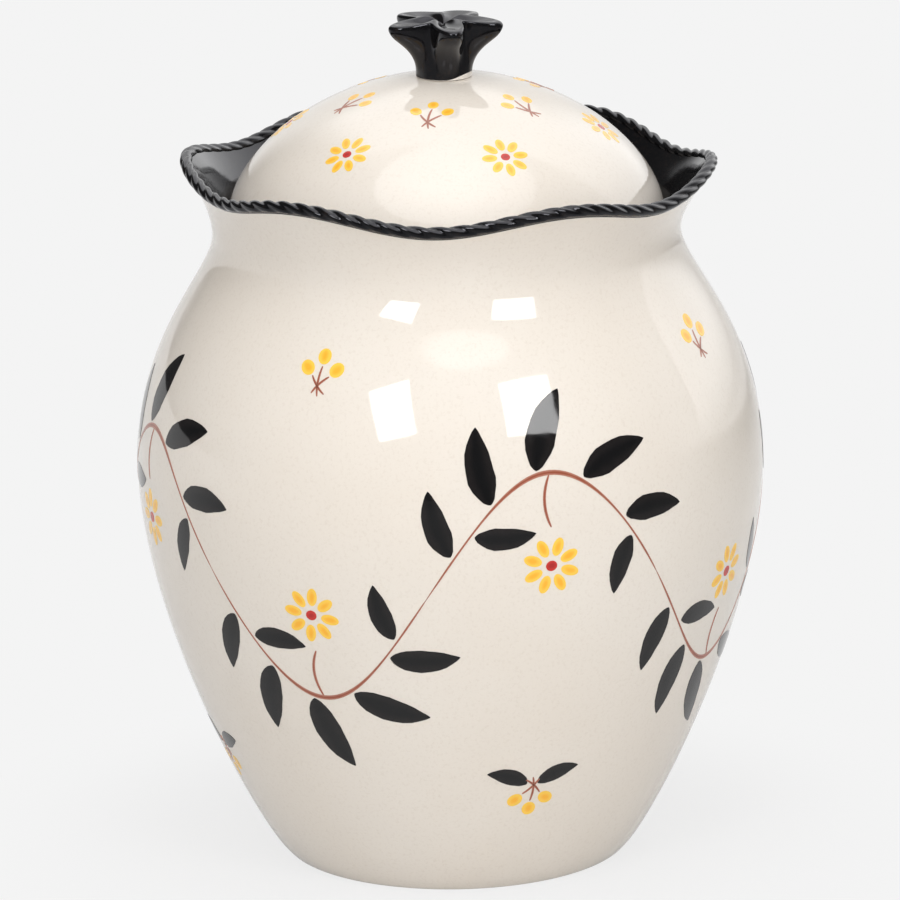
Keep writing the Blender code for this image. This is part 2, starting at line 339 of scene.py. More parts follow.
creamGlaze = makeCreamGlaze()
blackGlaze = makeBlackGlaze("blackGlaze")
bareClay = makeBareClay()
sealRubber = makeSealRubber()
print("glazes ready")

# Jar
jar = {
    "footRadius": 0.0581, "footEdge": 0.001, "footLand": 0.0075, "footRecess": 0.0025,
    "footFlare": 0.0094, "footRise": 0.0088,
    "bellyRadius": 0.1043, "bellyHeight": 0.1329, "fullBelow": 0.0498, "fullAbove": 0.0450,
    "neckRadius": 0.0777, "neckHeight": 0.2115, "neckEase": 0.0150,
    "wall": 0.0042, "floor": 0.0065, "floorFillet": 0.008,
    "ledgeHeight": 0.2120, "ledgeWidth": 0.008, "ledgeThick": 0.007, "undercut": 0.008,
    "recessSlope": 0.004, "footRound": 0.0006, "ledgeRound": 0.0007, "columns": 240,
}
collar = {
    # the lip leans outwards, and the rim goes up and out in lobes, the first at lobeAngle
    "rimRadius": 0.0853, "rimHeight": 0.2323, "ease": 0.007, "lean": math.radians(35),
    "lip": 0.0026, "bedded": 0.0012, "blackRows": 2,
    "lobes": 6, "lobeOut": 0.0016, "lobeUp": 0.0028, "lobeAngle": math.radians(56),
    "shift": (0.0010, 0.0), "tilt": (-0.0010, -0.0008),
}
rope = {
    # outwards turns the side where the strands show, and uneven is the hand's stray, in radians
    "radius": 0.0021, "strand": 0.00116, "strands": 3, "turns": 26, "steps": 30, "points": 30,
    "outwards": 0.35, "uneven": 0.5,
}


def jarWall(count):
    # The outside of the wall: one Bezier curve from the foot to the belly, one on to the neck.
    below = bezier(
        (jar["footRadius"], jar["footEdge"]),
        (jar["footRadius"] + jar["footFlare"], jar["footEdge"] + jar["footRise"]),
        (jar["bellyRadius"], jar["bellyHeight"] - jar["fullBelow"]),
        (jar["bellyRadius"], jar["bellyHeight"]), count)
    above = bezier(
        (jar["bellyRadius"], jar["bellyHeight"]),
        (jar["bellyRadius"], jar["bellyHeight"] + jar["fullAbove"]),
        (jar["neckRadius"], jar["neckHeight"] - jar["neckEase"]),
        (jar["neckRadius"], jar["neckHeight"]), count)
    return np.concatenate([below, above[1:]])


def collarSides(count):
    # Outside and inside of the collar, each a Bezier curve, from the neck to the leaning lip.
    lean = np.array([math.sin(collar["lean"]), math.cos(collar["lean"])])
    across = np.array([lean[1], -lean[0]]) * collar["lip"] / 2
    middle = np.array([collar["rimRadius"], collar["rimHeight"]]) - lean * collar["bedded"]
    neck = np.array([jar["neckRadius"], jar["neckHeight"]])
    foot = np.array([jar["neckRadius"] - jar["wall"], jar["ledgeHeight"] + 0.001])
    rise = np.array([0, collar["ease"]])
    outer = bezier(neck, neck + rise, middle + across - lean * collar["ease"], middle + across, count)
    inner = bezier(middle - across, middle - across - lean * collar["ease"], foot + rise, foot, count)
    return outer, inner


def waveShare(count):
    # Share of the rim's wave up the collar: smoothstep, nil at the neck and whole at the lip.
    t = np.linspace(0, 1, count)
    return t * t * (3 - 2 * t)


def level(start, end, height, count):
    # A level stretch of an outline.
    return np.stack([np.linspace(start, end, count), np.full(count, height)], 1)


def makeJar():
    # The outline runs from the middle of the foot's recess up the outside, over the lip, down
    # the inside past the ledge and to the middle of the floor, and is turned about Z.
    wall = jarWall(64)
    outer, inner = collarSides(26)
    land = jar["footRadius"] - jar["footEdge"]
    ledgeInner = jar["neckRadius"] - jar["wall"]
    throat = ledgeInner - jar["ledgeWidth"]
    ledgeFoot = jar["ledgeHeight"] - jar["ledgeThick"]
    hollow = wall - outwards(wall) * jar["wall"]
    low, high = jar["floor"] + jar["floorFillet"], ledgeFoot - jar["undercut"]
    inside = hollow[(hollow[:, 1] > low) & (hollow[:, 1] < high)][::-1]
    corner = np.array([np.interp(jar["floor"], hollow[:, 1], hollow[:, 0]), jar["floor"]])
    fillet = bezier(inside[-1], corner, corner, corner - (jar["floorFillet"], 0), 9)[1:]
    landInner = land - jar["footLand"]
    recessEdge = landInner - jar["recessSlope"] / 2
    recessStart = recessEdge - jar["recessSlope"]
    foot = rounded([(recessStart, jar["footRecess"]), (recessEdge, jar["footRecess"]), (landInner, 0),
                    (land, 0), wall[0], wall[3]], jar["footRound"])[:-1]
    ledge = rounded([inner[-1], (ledgeInner - 0.001, jar["ledgeHeight"]), (throat, jar["ledgeHeight"]),
                     (throat, ledgeFoot), inside[0]], jar["ledgeRound"])[1:-1]
    recess = level(0.006, recessStart - 0.002, jar["footRecess"], 10)
    floorRows = level(corner[0] - jar["floorFillet"], 0.006, jar["floor"], 12)[1:]
    parts = [recess, foot, wall[4:-1], outer, inner, ledge, inside, fillet, floorRows]
    waves = [np.zeros(len(part)) for part in parts]
    waves[3], waves[4] = waveShare(len(outer)), waveShare(len(inner))[::-1]
    outline, wave = np.concatenate(parts), np.concatenate(waves)
    grid = turn(outline, jar["columns"], wave)
    piece = makeSurface("jarWall", grid, first=(0, 0, jar["footRecess"]), last=(0, 0, jar["floor"]))
    rows = len(outline)
    lipRow = sum(len(part) for part in parts[:4])
    start = len(recess)
    landRows = np.nonzero((outline[:, 1] < 0.0004) & (np.arange(rows) < start + len(foot)))[0]
    slots = np.zeros(rows - 1, int)
    slots[lipRow - collar["blackRows"]:] = 1
    slots[landRows.min() - 1:landRows.max()] = 2
    perFace = np.repeat(slots, jar["columns"])
    perFace = np.concatenate([perFace, np.zeros(jar["columns"], int), np.ones(jar["columns"], int)])
    piece.data.polygons.foreach_set("material_index", perFace)
    dress(piece, "jar", [creamGlaze, blackGlaze, bareClay], ["jar_body"])


makeJar()


def makeRope():
    # A cord carried round the wavy rim. Its cross-section is the outline of three strands side
    # by side: at each angle the farthest reach of a circle of the strand's size off the centre.
    # The strands show in full above and towards the front and melt into a plain roll below.
    steps = rope["turns"] * rope["steps"]
    angle = np.arange(steps)[:, None] * 2 * math.pi / steps
    around = np.arange(rope["points"])[None] * 2 * math.pi / rope["points"]
    twist = -angle * rope["turns"] - rope["uneven"] * np.sin(5 * angle + 0.7) * np.cos(2 * angle)
    sector = 2 * math.pi / rope["strands"]
    off = rope["radius"] - rope["strand"]
    swing = (around - twist + sector / 2) % sector - sector / 2
    reach = off * np.cos(swing) + np.sqrt(rope["strand"] ** 2 - (off * np.sin(swing)) ** 2)
    shown = 0.5 + 0.5 * np.sin(around + rope["outwards"])
    reach = rope["radius"] + (reach - rope["radius"]) * shown
    radius = collar["rimRadius"] + reach * np.cos(around)
    height = collar["rimHeight"] + reach * np.sin(around)
    grid = np.stack([radius * np.cos(angle), radius * np.sin(angle), height], -1) + rimWave(angle)
    piece = makeSurface("ropeEdge", grid[:, ::-1][None], ring=True, sharp=70)
    dress(piece, "jar", [blackGlaze], ["rim_rope"])


makeRope()

# Lid
lid = {
    "radius": 0.0725, "base": 0.2123, "edge": 0.0037, "dome": 0.048, "fullness": 1.8, "wall": 0.0045,
    "flangeRadius": 0.0627, "flangeThick": 0.0045, "flangeDepth": 0.012,
    "grooveDepth": 0.0015, "grooveHeight": 0.0034, "grooveMiddle": -0.0038,
    "round": 0.0009, "columns": 240,
}
seal = {"play": 0.0003, "lip": 0.0012, "throat": 0.0655, "height": 0.2085, "round": 0.0004,
        "columns": 180}
knob = {
    # each petal's direction in degrees, its reach, and how far its tip lies over the mean
    "petals": [(-78, 0.0192, -0.0001), (-13, 0.0203, -0.0001), (56, 0.0186, -0.0004),
               (139, 0.0197, 0.0002), (203, 0.0196, 0.0002)],
    "roundness": 1.9, "foot": 0.0093, "valley": 0.0096, "height": 0.0190, "droop": 0.0008, "tilt": 0.016,
    "stem": 0.0085, "edgeFoot": 0.0054, "lean": (0.0024, 0.0027), "hem": 0.0018, "bulge": 0.0009,
    "edgeBack": 0.0026, "valleyBack": 0.0008, "gap": 0.0003,
    "scoop": 0.0011, "fold": 0.0006, "dip": 0.0024, "twist": 0.9, "columns": 300,
    # the black glaze's edge at the foot climbs by rise between these two places along X
    "glazeLine": {"from": 0.0005, "to": 0.0085, "rise": 0.0016, "soft": 0.0002},
}


def domeHeight(radius):
    # Superellipse: height share = (1 - radius share to the power p) to the power 1/p.
    share = np.clip(1 - (radius / lid["radius"]) ** lid["fullness"], 0, 1)
    return lid["edge"] + lid["dome"] * share ** (1 / lid["fullness"])


def domeOutline(count):
    # The dome from its edge to the crown: radius = full radius x cos(angle) to the power 2/p.
    angle = np.linspace(0, math.pi / 2, count + 1)[:-1]
    radius = lid["radius"] * np.cos(angle) ** (2 / lid["fullness"])
    return np.stack([radius, domeHeight(radius)], 1)


def makeLid():
    # The outline runs from the crown down the inside, round the flange and its groove, and up
    # the outside, and is turned about Z.
    dome = domeOutline(70)
    bore = lid["flangeRadius"] - lid["flangeThick"]
    top = lid["grooveMiddle"] + lid["grooveHeight"] / 2
    groove = lid["flangeRadius"] - lid["grooveDepth"]
    within = dome - outwards(dome) * lid["wall"]
    within = within[(within[:, 1] > lid["edge"] + lid["wall"]) & (within[:, 0] > 0.003)]
    crown = lid["edge"] + lid["dome"] - lid["wall"]
    profile = rounded([
        within[0], (bore, 0), (bore, -lid["flangeDepth"]), (lid["flangeRadius"], -lid["flangeDepth"]),
        (lid["flangeRadius"], top - lid["grooveHeight"]), (groove, top - lid["grooveHeight"]),
        (groove, top), (lid["flangeRadius"], top), (lid["flangeRadius"], 0),
        (lid["radius"], 0), dome[0], dome[2]], lid["round"])[1:-1]
    outline = np.concatenate([within[::-1], profile, dome[3:]])
    outline[:, 1] += lid["base"]
    poles = [(0, 0, lid["base"] + crown), (0, 0, lid["base"] + lid["edge"] + lid["dome"])]
    piece = makeSurface("lidDome", turn(outline, lid["columns"]), first=poles[0], last=poles[1])
    dress(piece, "lid", [creamGlaze], ["lid_shell"])


makeLid()


def makeSeal():
    # A ring with its root in the groove and a lip that thins towards the throat.
    root = lid["flangeRadius"] - lid["grooveDepth"] + seal["play"]
    reach = seal["throat"] - seal["play"]
    half = lid["grooveHeight"] / 2 - seal["play"]
    corners = np.array([(root, -half), (lid["flangeRadius"] + seal["play"], -half),
                        (reach, half - seal["lip"]), (reach, half), (root, half)])
    closed = np.concatenate([corners[-1:], corners, corners[:1]])
    outline = rounded(closed, seal["round"], 6)[1:-1] + (0, seal["height"])
    piece = makeSurface("sealRing", turn(outline, seal["columns"]), ring=True)
    dress(piece, "seal", [sealRubber], ["lid_seal"])


makeSeal()


def makeKnob():
    # Each petal has its own direction and reach. Between two of them the swing runs through a
    # half turn, and petal = |cos(swing)| to a power. Up the side one Bezier curve flares from
    # the stem and a second turns over the petal's round edge. The top falls to the tips, folds
    # up between petals, is scooped along each petal, and sinks in the twisted centre.
    angle = np.arange(knob["columns"])[None] * 2 * math.pi / knob["columns"]
    ways, tips, lifts = np.array(knob["petals"] + knob["petals"][:1], float).T
    ways = np.radians(ways)
    ways[-1] += 2 * math.pi
    turned = (angle - ways[0]) % (2 * math.pi) + ways[0]
    swing = np.interp(turned, ways, np.arange(len(ways)) * math.pi)
    petal = np.abs(np.cos(swing)) ** knob["roundness"]
    outer = knob["valley"] + (np.interp(turned, ways, tips) - knob["valley"]) * petal
    lift = np.interp(turned, ways, lifts) * petal
    fall = lift - knob["droop"] * petal
    foot = domeHeight(knob["foot"]) - domeHeight(0.0) + knob["gap"]
    low, top = knob["height"] - knob["edgeFoot"] + lift, knob["height"] + fall
    out, up = knob["lean"][0] * petal, knob["lean"][1]
    hem = outer - knob["hem"] * petal
    back = outer - knob["edgeBack"] * petal - knob["valleyBack"] * (1 - petal)
    side = bezier(knob["foot"], knob["foot"], hem - out, hem, 34)
    sideUp = bezier(foot, foot + knob["stem"], low - up, low, 34)
    edge = bezier(hem, hem + out * 0.8, outer + knob["bulge"] * petal, back, 14)[1:]
    edgeUp = bezier(low, low + up * 0.8, top, top, 14)[1:]
    share = np.linspace(1, 0.03, 34)[1:, None]
    twisted = np.abs(np.cos(swing + knob["twist"] * (1 - share) ** 1.5))
    rise = np.sin(math.pi * share ** 0.9) ** 0.9
    topUp = knob["height"] + fall * share ** 2 - knob["dip"] * (1 - share) ** 2.5
    topUp = topUp + rise * (knob["fold"] * (1 - twisted) ** 1.5 - knob["scoop"] * twisted ** 2)
    radius = np.concatenate([side, edge, back * share])
    height = np.concatenate([sideUp, edgeUp, topUp])
    crown = lid["base"] + domeHeight(0.0)
    height = height * (1 + knob["tilt"] / knob["height"] * radius * np.cos(angle)) + crown
    half = knob["foot"] / 2
    radius = np.concatenate([half + 0 * angle, radius])
    height = np.concatenate([lid["base"] + domeHeight(half) + knob["gap"] + 0 * angle, height])
    grid = np.stack([radius * np.cos(angle), radius * np.sin(angle), height], -1)[None]
    base = (0, 0, crown + knob["gap"])
    peak = (0, 0, float(height[-1].mean()) - 0.0001)
    piece = makeSurface("flowerKnob", grid, first=base, last=peak, sharp=65)
    line = {"height": crown + foot, **knob["glazeLine"]}
    dress(piece, "lid", [makeBlackGlaze("knobGlaze", line)], ["lid_knob"])


makeKnob()

# Painted garland
paint = {
    "proud": 0.00010, "sunk": 0.00030, "rows": 12,
    "leaf": (0.0065, 0.0065, 0.0070), "leafThin": (0.0140, 0.0120, 0.0120),
    "petal": (0.970, 0.600, 0.085), "petalDeep": (0.950, 0.410, 0.028),
    "centre": (0.560, 0.040, 0.030), "centreDeep": (0.380, 0.022, 0.020),
    "stem": (0.300, 0.085, 0.050), "stemThin": (0.450, 0.200, 0.140),
}


def makePaint(name, colour, deep, centred, strength):
    # Brush colour under the glaze: deeper in the middle of a dab, or in streaks along a stroke.
    material, tree, shader = newMaterial(name, IOR=1.5)
    fired = useGlaze(tree, Cloud_Scale=260.0)
    uv = addNode(tree, "ShaderNodeUVMap", uv_map="surface")
    split = tree.nodes.new("ShaderNodeSeparateXYZ")
    link(tree, uv.outputs[0], split.inputs[0])
    across = mathNode(tree, "SUBTRACT", split.outputs[0], 0.5)
    along = mathNode(tree, "SUBTRACT", split.outputs[1], 0.5)
    if not centred:
        along = mathNode(tree, "MULTIPLY", along, 0.35)
    squares = [mathNode(tree, "MULTIPLY", side, side) for side in (across, along)]
    far = mathNode(tree, "SQRT", mathNode(tree, "ADD", *squares))
    wobble = mathNode(tree, "MULTIPLY", fired.outputs["Clouds"], 0.12)
    share = rampNode(tree, mathNode(tree, "ADD", far, wobble), [(0.18, strength), (0.42, 0.0)])
    link(tree, mixColours(tree, share, colour, deep), shader.inputs["Base Color"])
    feedRamp(tree, shader, "Roughness", fired.outputs["Clouds"], [(0.0, 0.035), (1.0, 0.07)])
    addRipple(tree, shader, fired.outputs["Ripple"], 0.12)
    return material


leafPaint = makePaint("leafPaint", paint["leafThin"], paint["leaf"], False, 1.0)
petalPaint = makePaint("petalPaint", paint["petal"], paint["petalDeep"], True, 0.75)
centrePaint = makePaint("centrePaint", paint["centre"], paint["centreDeep"], True, 0.8)
stemPaint = makePaint("stemPaint", paint["stemThin"], paint["stem"], False, 1.0)


def wallOf(outline):
    # A painted wall: its outline with the run along it, and the normal at each point.
    run = np.concatenate([[0], np.cumsum(np.linalg.norm(np.diff(outline, axis=0), axis=1))])
    return {"run": run, "outline": outline, "normal": outwards(outline)}


def onWall(wall, angle, run, proud):
    # The outline's point at that run, moved proud along its normal, turned to the angle.
    radius, height = [np.interp(run, wall["run"], wall["outline"][:, axis])
                      + np.interp(run, wall["run"], wall["normal"][:, axis]) * proud for axis in (0, 1)]
    return np.stack([radius * np.cos(angle), radius * np.sin(angle), height], -1)


def strokeLine(angle, run, start, end, bow, wall):
    # Brush lines: a straight line from start to end, in metres around and up from an anchor,
    # with a sideways bow of a parabola. The points crowd towards both ends.
    angle, run, bow = (np.asarray(value, float)[:, None] for value in (angle, run, bow))
    start, end = np.asarray(start, float)[:, None], np.asarray(end, float)[:, None]
    t = (1 - np.cos(np.linspace(0, math.pi, paint["rows"] + 2)))[None] / 2
    step = end - start
    x = start[..., 0] + step[..., 0] * t - step[..., 1] * bow * 4 * t * (1 - t)
    y = start[..., 1] + step[..., 1] * t + step[..., 0] * bow * 4 * t * (1 - t)
    up = run + y
    radius = np.interp(up, wall["run"], wall["outline"][:, 0])
    return angle + x / radius, up, np.broadcast_to(t, x.shape)


def paintStrokes(name, wall, lines, body, material):
    # A flat stroke carried along each line: seven points round a band that stands proud of the
    # wall and is sunk in it below, its width given at each point, closed on a pole at both ends.
    angle, run, width = (np.concatenate([line[i] for line in lines]) for i in range(3))
    radius = np.interp(run, wall["run"], wall["outline"][:, 0])
    alongX, alongY = np.gradient(angle, axis=1) * radius, np.gradient(run, axis=1)
    size = np.hypot(alongX, alongY) + 1e-12
    acrossX, acrossY = -alongY / size, alongX / size
    side = np.array([1, 0.5, 0, -0.5, -1, -1, 1])
    lift = np.array([paint["proud"]] * 5 + [-paint["sunk"]] * 2)
    inner = slice(1, -1)
    reach = width[:, inner, None] * side
    strokeRun = run[:, inner, None] + acrossY[:, inner, None] * reach
    strokeAngle = angle[:, inner, None] + acrossX[:, inner, None] * reach / radius[:, inner, None]
    grid = onWall(wall, strokeAngle, strokeRun, lift)
    ends = [onWall(wall, angle[:, i], run[:, i], paint["proud"]) for i in (0, -1)]
    piece = makeSurface(name, grid, first=ends[0], last=ends[1], across=[0, 0.25, 0.5, 0.75, 1, 1, 0, 0])
    dress(piece, body, [material])


def dab(angle, run, start, end, bow, half, wall, point=0.5, skew=1.0, ragged=0.0):
    # Stroke width = half x (4s(1 - s)) to the power point, s = t to the power skew.
    line = strokeLine(angle, run, start, end, bow, wall)
    s = line[2] ** skew
    width = np.asarray(half, float).reshape(-1, 1) * (4 * s * (1 - s)) ** point
    seed = np.arange(len(width))[:, None] * 2.4
    width = width * (1 + ragged * np.sin(line[2] * 19 + seed) + ragged * np.sin(line[2] * 43 + seed * 3))
    return line[0], line[1], width


def daisies(wall, angle, run, size):
    # Petals in a ring, each an ellipse from a share of the size out to the size, and an eye.
    count, petals = len(angle), daisy["petals"]
    turnTo = np.arange(petals) * 2 * math.pi / petals
    lean = np.repeat(np.arange(count) * daisy["turn"], petals) + np.tile(turnTo, count)
    way = np.stack([np.cos(lean), np.sin(lean)], 1)
    anchor, height = np.repeat(angle, petals), np.repeat(run, petals)
    full = np.repeat(size, petals)[:, None]
    ring = dab(anchor, height, way * full * daisy["inner"], way * full, 0 * anchor,
               full[:, 0] * daisy["petalHalf"], wall)
    size = np.asarray(size)[:, None]
    flat = np.array([daisy["eye"]]) * size
    eye = dab(angle, run, -flat, flat, np.zeros(count), size[:, 0] * daisy["eyeHalf"], wall)
    return ring, eye


garland = {
    "waves": 4, "phase": math.radians(18), "middle": 0.114, "swing": 0.040, "stemHalf": 0.00075,
    "leafLength": 0.0270, "leafHalf": 0.0047, "daisy": 0.0098, "daisyInset": 0.031,
    "shoulder": 0.1800, "low": 0.0420, "berry": 0.0027, "smallLeaf": 0.0170,
    "stalkHalf": 0.0005, "stalk": (0.42, 0.98), "stalkBow": 0.12, "stemPoints": 46,
    # a leaf's direction as shares along and across the vine, its gap from it, and its bow
    "leafLean": (0.62, 0.80), "leafRoot": 0.0016, "leafBow": 0.06,
    # each leaf of a half wave: its place along it, 1 outside or -1 inside the bend, and its size
    "leaves": [(-0.40, 1, 0.9), (-0.24, 1, 1.0), (-0.06, 1, 1.08), (0.13, 1, 1.0), (0.31, 1, 0.9),
               (-0.33, -1, 0.8), (0.36, -1, 0.8)],
    # how a leaf's width runs: the power of its formula, its skew and its ragged edge
    "leafShape": (0.85, 0.82, 0.025),
}
# shares of a daisy's size, and how far each daisy is turned on from the last, in radians
daisy = {
    "petals": 8, "inner": 0.36, "petalHalf": 0.185, "eye": (0.19, 0.0475), "eyeHalf": 0.18,
    "turn": 0.6,
}
# the stalks' directions in degrees, their reach and tail in metres
sprig = {
    "fan": (-42, 0, 42), "reach": (0.0078, 0.0100, 0.0078), "tail": -0.0035, "bow": 0.06,
    "half": 0.0004,
}


def paintJar():
    # The vine's run up the wall = middle + swing x sin(waves x angle + phase).
    wall = wallOf(jarWall(240))
    outline = wall["outline"]
    middle = np.interp(garland["middle"], outline[:, 1], wall["run"])

    def vine(angle):
        return middle + garland["swing"] * np.sin(garland["waves"] * angle + garland["phase"])

    def vineWay(angle):
        slope = garland["swing"] * garland["waves"] * np.cos(garland["waves"] * angle + garland["phase"])
        radius = np.interp(vine(angle), wall["run"], outline[:, 0])
        way = np.stack([radius, slope], -1)
        return way / np.linalg.norm(way, axis=-1, keepdims=True)

    halves = garland["waves"] * 2
    crest = (np.arange(halves) * math.pi + math.pi / 2 - garland["phase"]) / garland["waves"]
    side = np.where(np.arange(halves) % 2 == 0, 1.0, -1.0)
    span = math.pi / garland["waves"]
    # the vine, one brush stroke for each half wave
    points = garland["stemPoints"]
    t = np.linspace(-0.52, 0.50, points)[None]
    angle = crest[:, None] + span * t
    ends = np.clip(np.cos(t * math.pi / 1.06) * 3, 0.05, 1)
    width = garland["stemHalf"] * (0.75 + 0.35 * np.cos(t * 9)) * ends
    stems = [(angle, vine(angle), np.broadcast_to(width, angle.shape))]
    # leaves on the outside of each bend, and on the inside near its ends
    leaves = []
    for place, outer, size in garland["leaves"]:
        root = crest + span * place
        way = vineWay(root)
        turned = np.stack([-way[:, 1], way[:, 0]], 1) * (side * outer)[:, None]
        aim = way * garland["leafLean"][0] + turned * garland["leafLean"][1]
        near, far = aim * garland["leafRoot"], aim * garland["leafLength"] * size
        leaves.append(dab(root, vine(root), near, far, garland["leafBow"] * side * outer,
                          np.full(halves, garland["leafHalf"] * size), wall, *garland["leafShape"]))
    # daisies in the bends, each on a short stem
    inset = vine(crest) - side * garland["daisyInset"]
    petals, eyes = daisies(wall, crest, inset, np.full(halves, garland["daisy"]))
    zero = np.zeros(halves)
    stalk = np.stack([zero, side * garland["daisyInset"]], 1)
    thin = np.full(halves, garland["stalkHalf"])
    near, far = (stalk * share for share in garland["stalk"])
    stalks = dab(crest, inset, near, far, garland["stalkBow"] * side, thin, wall, 0.25)
    stems.append(stretch(stalks, points))
    # small sprigs of three berries over the troughs and under the crests
    height = np.where(side > 0, garland["low"], garland["shoulder"])
    spot = np.interp(height, outline[:, 1], wall["run"])
    berries, stalks = sprigs(wall, crest, spot, -side, garland["berry"])
    stems.append(stretch(stalks, points))
    # a pair of small leaves at the foot of each low sprig
    lower = side > 0
    for lean in (-1.0, 1.0):
        whole = np.ones(lower.sum())
        aim = np.stack([whole * lean * 0.93, whole * 0.36], 1) * garland["smallLeaf"]
        leaves.append(dab(crest[lower], spot[lower], aim * 0.12, aim, whole * 0.08 * lean,
                          whole * garland["leafHalf"] * 0.66, wall, *garland["leafShape"]))
    paintStrokes("jarLeaves", wall, leaves, "jar", leafPaint)
    paintStrokes("jarStems", wall, stems, "jar", stemPaint)
    paintStrokes("jarPetals", wall, [petals, berries], "jar", petalPaint)
    paintStrokes("jarCentres", wall, [eyes], "jar", centrePaint)


def stretch(line, count):
    # The same strokes with count points each, by straight interpolation along them.
    old, new = np.linspace(0, 1, line[0].shape[1]), np.linspace(0, 1, count)
    return tuple(np.stack([np.interp(new, old, row) for row in part]) for part in line)


def sprigs(wall, angle, run, side, berry):
    # Three round berries at the ends of three short stalks that fan from one point.
    count = len(angle)
    fan = np.radians(sprig["fan"])
    way = np.stack([np.sin(np.tile(fan, count)), np.cos(np.tile(fan, count)) * np.repeat(side, 3)], 1)
    anchor, height = np.repeat(angle, 3), np.repeat(run, 3)
    whole = np.ones(len(anchor))
    reach = np.tile(sprig["reach"], count)[:, None]
    near, far = way * (reach - berry), way * (reach + berry)
    ball = dab(anchor, height, near, far, 0 * whole, whole * berry * 0.86, wall)
    near, far = way * sprig["tail"], way * (reach - berry * 1.2)
    stalk = dab(anchor, height, near, far, whole * sprig["bow"], whole * sprig["half"], wall, 0.25)
    return ball, stalk


paintJar()

lidPaint = {
    "daisies": 6, "daisyRadius": 0.052, "daisy": 0.0080, "phase": math.radians(-68),
    "sprigRadius": 0.036, "berry": 0.0021,
}


def paintLid():
    # Daisies in a ring near the lid's edge, and a sprig between each two of them higher up.
    dome = domeOutline(240) + (0, lid["base"])
    wall = wallOf(dome)
    count = lidPaint["daisies"]
    angle = lidPaint["phase"] + np.arange(count) * 2 * math.pi / count
    place = np.interp(-lidPaint["daisyRadius"], -dome[:, 0], wall["run"])
    petals, eyes = daisies(wall, angle, np.full(count, place), np.full(count, lidPaint["daisy"]))
    between = angle + math.pi / count
    upper = np.interp(-lidPaint["sprigRadius"], -dome[:, 0], wall["run"])
    berries, stalks = sprigs(wall, between, np.full(count, upper), np.ones(count), lidPaint["berry"])
    paintStrokes("lidPetals", wall, [petals, berries], "lid", petalPaint)
    paintStrokes("lidCentres", wall, [eyes], "lid", centrePaint)
    paintStrokes("lidStems", wall, [stalks], "lid", stemPaint)


paintLid()

# Studio
studio = {
    "white": 0.904, "ambient": 0.317, "dark": 0.07,
    "floorColour": 0.80, "floorSize": 8.0, "fade": (0.075, 0.175), "shadowShare": 0.16,
    # what glossy surfaces see of the floor: dimmer in front and on the right, white far back
    "gloss": 0.85, "front": 0.22, "frontEnd": (-0.4, 0.3),
    "right": 0.15, "rightSide": (0.2, 0.8), "farBack": (0.8, 1.3),
    # what they see round the jar: each pair is where along x, y or z of the way that part begins
    # and where it is whole
    "backdrop": (-0.16, 0.24), "leftEnd": (-0.54, -0.30),
    "sweep": 1.05, "sweepEdge": (0.273, 0.297), "sweepRight": (0.20, 0.45),
    "sweepRise": (-0.05, 0.15), "sweepHigh": (0.40, 0.62),
    "disc": 2.0, "discCore": 1.0, "discPlace": (0.10, -0.35), "discReach": 0.67,
    # each soft box: azimuth, elevation, width, height and roll in degrees, and its radiance
    "keyDistance": 2.0, "keyAim": (0, -0.09, 0.18),
    "keys": {"keyLeft": (-24.4, 31.0, 14.6, 18.5, 21.0, 10.3),
             "keyRight": (34.3, 30.5, 19.2, 18.8, -6.0, 8.7)},
    "topHeight": 1.70, "topRadiance": 1.55, "topPlace": (-0.01, -0.35),
    "softs": {"rimSoft": {"place": (0, 1.7, 1.05), "aim": (0, 0, 0.25), "size": 0.9, "radiance": 1.2},
              "fillSoft": {"place": (0, -2.5, 0.35), "aim": (0, 0, 0.12), "size": 1.6, "radiance": 0.6}},
}
camera = {
    "distance": 2.8, "height": 0.897, "aim": (-0.0001, 0.0, 0.1354),
    "roll": math.radians(-0.95), "lens": 348.0,
}


